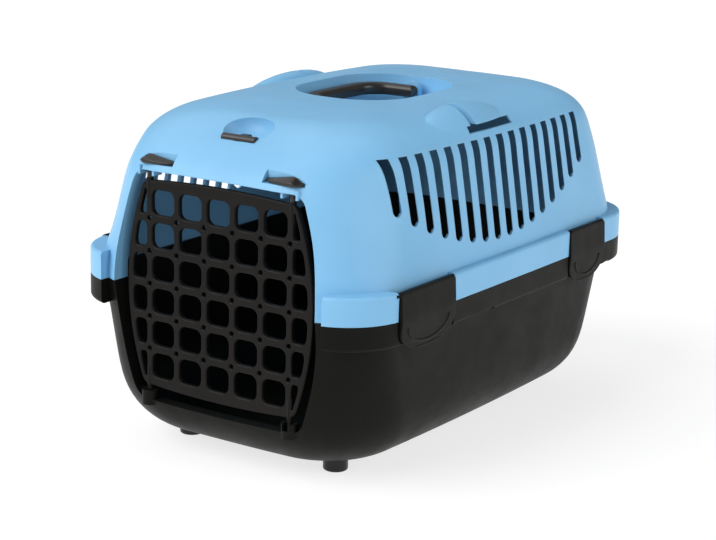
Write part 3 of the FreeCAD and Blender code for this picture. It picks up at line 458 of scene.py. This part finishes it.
bosses = bmesh.new()
for sign in (-1, 1):
    hinge = (HINGE_X * sign, HINGE_Y, 0.0)
    gap = (0.0, 0.0) if sign < 0 else (math.pi / 2 - EYE_GAP, math.pi / 2 + EYE_GAP)
    turning(bosses, hinge, "z", UPPER_BOSS)
    turning(bosses, hinge, "z", PIN_EYE, opening=gap, hollow=True)
    turning(bosses, hinge, "z", LOWER_BOSS_AND_PIN)
knit(bosses)
hinges = new_piece("door_hinge_bosses", bosses)
even_shading(hinges)
settle(hinges, "door_grille")


# ------------------------------------------------------------------ clips and levers

# All in millimetres. The clip's face: its reach at the seam, and how it leans in above and below that.
CLIP_OUT, CLIP_SEAM, CLIP_LEAN_ABOVE, CLIP_LEAN_BELOW = 160.0, 150.0, 0.055, 0.085
# Its plate: the thickness and the nearest that the back comes, the top edge and its corners, the height at
# which the half oval of the lower end begins and how far that drops.
CLIP_THICK, CLIP_BACK, CLIP_TOP, CLIP_CORNER, CLIP_SIDE_LOW, CLIP_DROP = 3.2, 156.3, 173.6, 4.5, 140.0, 19.0
CLIP_LEVELS = range(124, 173, 3)
CORNER_STEPS, OVAL_STEPS, LINE_STEPS = 6, 40, 48
# Its raised line: how far inside the plate's sides it runs, its upper ends, its drop, and its section as pairs
# of place across it and lift over the face.
LINE_INSET, LINE_TOP, LINE_DROP = 10.0, 143.0, 15.5
LINE_SECTION = [(-1.7, -0.4), (-1.0, 0.45), (0.0, 0.8), (1.0, 0.45), (1.7, -0.4)]
# Its barrel, with a trunnion that reaches out at each end.
BARREL_X, BARREL_Z, BARREL_RADIUS, TRUNNION_RADIUS, TRUNNION_REACH = 155.0, 171.0, 2.5, 1.6, 3.0
# Its hook under the rim: from the inner end to the plate, the width, the top, and the underside at either end.
HOOK_IN, HOOK_OUT, HOOK_WIDTH, HOOK_TOP, HOOK_LOW_IN, HOOK_LOW_OUT = 153.5, 157.5, 32.0, 128.1, 126.0, 124.0


def clip_face(z):
    """How far out the clip's face stands at a height: it leans in above and below the seam."""
    above = z - CLIP_SEAM
    return CLIP_OUT - (CLIP_LEAN_ABOVE * above if above > 0 else CLIP_LEAN_BELOW * -above)


def seam_clip(name):
    """A plate across the seam with round top corners, a half-oval lower end and a raised line inside that,
    on a barrel with two trunnions, with a hook behind."""
    low, high = ([value / MM for value in corner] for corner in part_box(name))
    sign = 1 if high[0] > 0 else -1
    middle, half = (low[1] + high[1]) / 2, (high[1] - low[1]) / 2 - TRUNNION_REACH
    outline = []
    for spot, first in ((CLIP_CORNER - half, math.pi), (half - CLIP_CORNER, math.pi / 2)):
        for step in range(CORNER_STEPS + 1):
            turn = first - math.pi / 2 * step / CORNER_STEPS
            outline.append((spot + CLIP_CORNER * math.cos(turn),
                            CLIP_TOP - CLIP_CORNER + CLIP_CORNER * math.sin(turn)))
    for step in range(OVAL_STEPS + 1):
        turn = math.pi * step / OVAL_STEPS
        outline.append((half * math.cos(turn), CLIP_SIDE_LOW - CLIP_DROP * math.sin(turn)))
    form = bmesh.new()
    form.faces.new([form.verts.new((0.0, y, z)) for y, z in outline])
    for level in CLIP_LEVELS:
        bmesh.ops.bisect_plane(form, geom=form.verts[:] + form.edges[:] + form.faces[:],
                               plane_co=(0, 0, level), plane_no=(0, 0, 1))
    grown_out = bmesh.ops.extrude_face_region(form, geom=form.faces[:], use_keep_orig=True)
    face = {item for item in grown_out["geom"] if isinstance(item, bmesh.types.BMVert)}
    for vert in form.verts:
        out = clip_face(vert.co.z)
        if vert not in face:
            out = max(out - CLIP_THICK, CLIP_BACK)
        vert.co = Vector((sign * out, middle + vert.co.y, vert.co.z)) * MM
    # the raised line: a low round bead along a smaller half oval
    crest = half - LINE_INSET
    rings = []
    for step in range(LINE_STEPS + 1):
        turn = math.pi * step / LINE_STEPS
        ahead = Vector((crest * math.cos(turn), -LINE_DROP * math.sin(turn)))
        outward = Vector((math.cos(turn) / crest, -math.sin(turn) / LINE_DROP)).normalized()
        ring = []
        for offset, lift in LINE_SECTION:
            y, z = ahead + outward * offset
            z += LINE_TOP
            ring.append(form.verts.new(Vector((sign * (clip_face(z) + lift), middle + y, z)) * MM))
        rings.append(ring)
    close_rings(form, rings)
    pin = half + TRUNNION_REACH
    turning(form, (BARREL_X * sign, middle, BARREL_Z), "y", [
        (0, -pin), (TRUNNION_RADIUS, -pin), (TRUNNION_RADIUS, -half), (BARREL_RADIUS, -half),
        (BARREL_RADIUS, half), (TRUNNION_RADIUS, half), (TRUNNION_RADIUS, pin), (0, pin)])
    for vert in bmesh.ops.create_cube(form, size=1.0)["verts"]:
        inward = vert.co.x * sign < 0
        under = HOOK_LOW_IN if inward else HOOK_LOW_OUT
        vert.co = Vector((sign * (HOOK_IN if inward else HOOK_OUT), middle + vert.co.y * HOOK_WIDTH,
                          HOOK_TOP if vert.co.z > 0 else under)) * MM
    knit(form)
    piece = new_piece(f"{name}_plate", form)
    ease_edges(piece, width=0.8, angle=40)
    settle(piece, name)


# A lever's inner tip, length, foot, back and depth in millimetres.
LEVER_INNER, LEVER_LENGTH, LEVER_FOOT, LEVER_BACK, LEVER_DEPTH = 46.5, 36.5, 255.3, -216.5, 9.5
# Along it from that tip: share of the length, lift of the foot, height of the crown, share of the depth.
LEVER_STATIONS = [(0.0, 1.7, 2.3, 0.2), (0.03, 1.2, 2.9, 0.42), (0.12, 0.8, 3.7, 0.66), (0.3, 0.3, 4.8, 0.86),
                  (0.5, 0.1, 6.0, 0.96), (0.68, 0.0, 7.1, 1.0), (0.76, 0.0, 7.4, 1.0), (0.83, 0.0, 6.7, 1.0),
                  (0.89, 0.0, 4.9, 0.92), (0.94, 0.2, 3.7, 0.8), (0.98, 0.5, 3.3, 0.66), (1.0, 0.9, 2.9, 0.5)]
# Round it: share of the depth from its back, share of the height.
LEVER_SECTION = [(0.0, 0.0), (0.0, 0.3), (0.0, 0.62), (0.08, 0.9), (0.26, 1.0), (0.5, 0.93), (0.76, 0.7),
                 (0.95, 0.5), (1.0, 0.42), (1.0, 0.2), (0.93, 0.0), (0.45, 0.0)]


def door_lever(name):
    """A leaf-shaped lever with a ridge along its face, over the pin that holds the door's top corner."""
    sign = 1 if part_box(name)[1][0] > 0 else -1
    form = bmesh.new()
    rings = []
    for share, lift, crown, deep in LEVER_STATIONS:
        x = sign * (LEVER_INNER + LEVER_LENGTH * share)
        ring = []
        for ahead, up in LEVER_SECTION:
            y, z = LEVER_BACK - LEVER_DEPTH * deep * ahead, LEVER_FOOT + lift + (crown - lift) * up
            ring.append(form.verts.new(Vector((x, y, z)) * MM))
        rings.append(ring)
    close_rings(form, rings)
    bmesh.ops.subdivide_edges(form, edges=form.edges[:], cuts=1, smooth=0.6, use_grid_fill=True)
    turning(form, (HINGE_X * sign, HINGE_Y, 0.0), "z", LEVER_PIN)
    knit(form)
    piece = new_piece(f"{name}_leaf", form)
    even_shading(piece)
    settle(piece, name)


for name in frame["nodes"]:
    if name.startswith("clip"):
        seam_clip(name)
    elif name.startswith("latch"):
        door_lever(name)
    elif name != "door_grille":
        moulding(name)

# ------------------------------------------------------------------ floor, light and camera

# Half the floor's width and how far the camera sees, in metres: far enough that no horizon shows.
FLOOR_HALF, SIGHT = 200.0, 400.0

floor_material = bpy.data.materials.new("lit_white_sweep")
floor_material.use_nodes = True
paper = floor_material.node_tree.nodes["Principled BSDF"]
paper.inputs["Base Color"].default_value = linear("#9A9A9A")
paper.inputs["Roughness"].default_value = 0.9
paper.inputs["Specular IOR Level"].default_value = 0.0
paper.inputs["Emission Color"].default_value = linear("#FFFFFF")
paper.inputs["Emission Strength"].default_value = 0.74
floor_form = bmesh.new()
bmesh.ops.create_grid(floor_form, x_segments=1, y_segments=1, size=FLOOR_HALF)
floor = new_piece("floor", floor_form)
floor.data.materials.append(floor_material)

bpy.context.scene.view_settings.view_transform = "Standard"
world = bpy.data.worlds.new("studio")
bpy.context.scene.world = world
world.use_nodes = True
world.node_tree.nodes["Background"].inputs["Color"].default_value = linear("#FFFFFF")
world.node_tree.nodes["Background"].inputs["Strength"].default_value = 0.2


def soft_light(name, source, strength, spread):
    """A broad even light from one side, as from a large screen far off."""
    light = bpy.data.lights.new(name, "SUN")
    light.energy, light.angle = strength * math.pi, math.radians(spread)
    lamp = bpy.data.objects.new(name, light)
    lamp.rotation_euler = Vector(source).to_track_quat("Z", "Y").to_euler()
    bpy.context.scene.collection.objects.link(lamp)


soft_light("front_left_screen", (-0.35, -0.72, 0.6), strength=0.84, spread=50)
soft_light("right_screen", (0.95, 0.2, 0.3), strength=0.47, spread=50)
soft_light("ceiling_screen", (-0.54, 0.1, 0.83), strength=0.22, spread=60)

# The camera's place worked out from the door's grid of windows, for a picture of 716 by 540 pixels.
AZIMUTH, ELEVATION, ROLL = map(math.radians, (34.0413, 14.4017, 1.3221))
DISTANCE, SHIFT_RIGHT, SHIFT_UP, AIM_HEIGHT = 1.85116, -0.00905, -0.02392, 0.155
FOCAL_PIXELS, PICTURE_PIXELS, SENSOR = 2022.85, 716.0, 36.0
back = Vector((math.sin(AZIMUTH) * math.cos(ELEVATION), -math.cos(AZIMUTH) * math.cos(ELEVATION),
               math.sin(ELEVATION)))
level = Vector((math.cos(AZIMUTH), math.sin(AZIMUTH), 0.0))
upright = back.cross(level)
right = level * math.cos(ROLL) + upright * math.sin(ROLL)
up = upright * math.cos(ROLL) - level * math.sin(ROLL)
lens = bpy.data.cameras.new("camera")
lens.sensor_width, lens.lens = SENSOR, FOCAL_PIXELS / PICTURE_PIXELS * SENSOR
lens.clip_start, lens.clip_end = 0.05, SIGHT
camera = bpy.data.objects.new("camera", lens)
aim = Vector((0.0, 0.0, AIM_HEIGHT)) + right * SHIFT_RIGHT + up * SHIFT_UP
facing = Matrix((right, up, back)).transposed().to_4x4()
camera.matrix_world = Matrix.Translation(aim + back * DISTANCE) @ facing
bpy.context.scene.collection.objects.link(camera)
bpy.context.scene.camera = camera
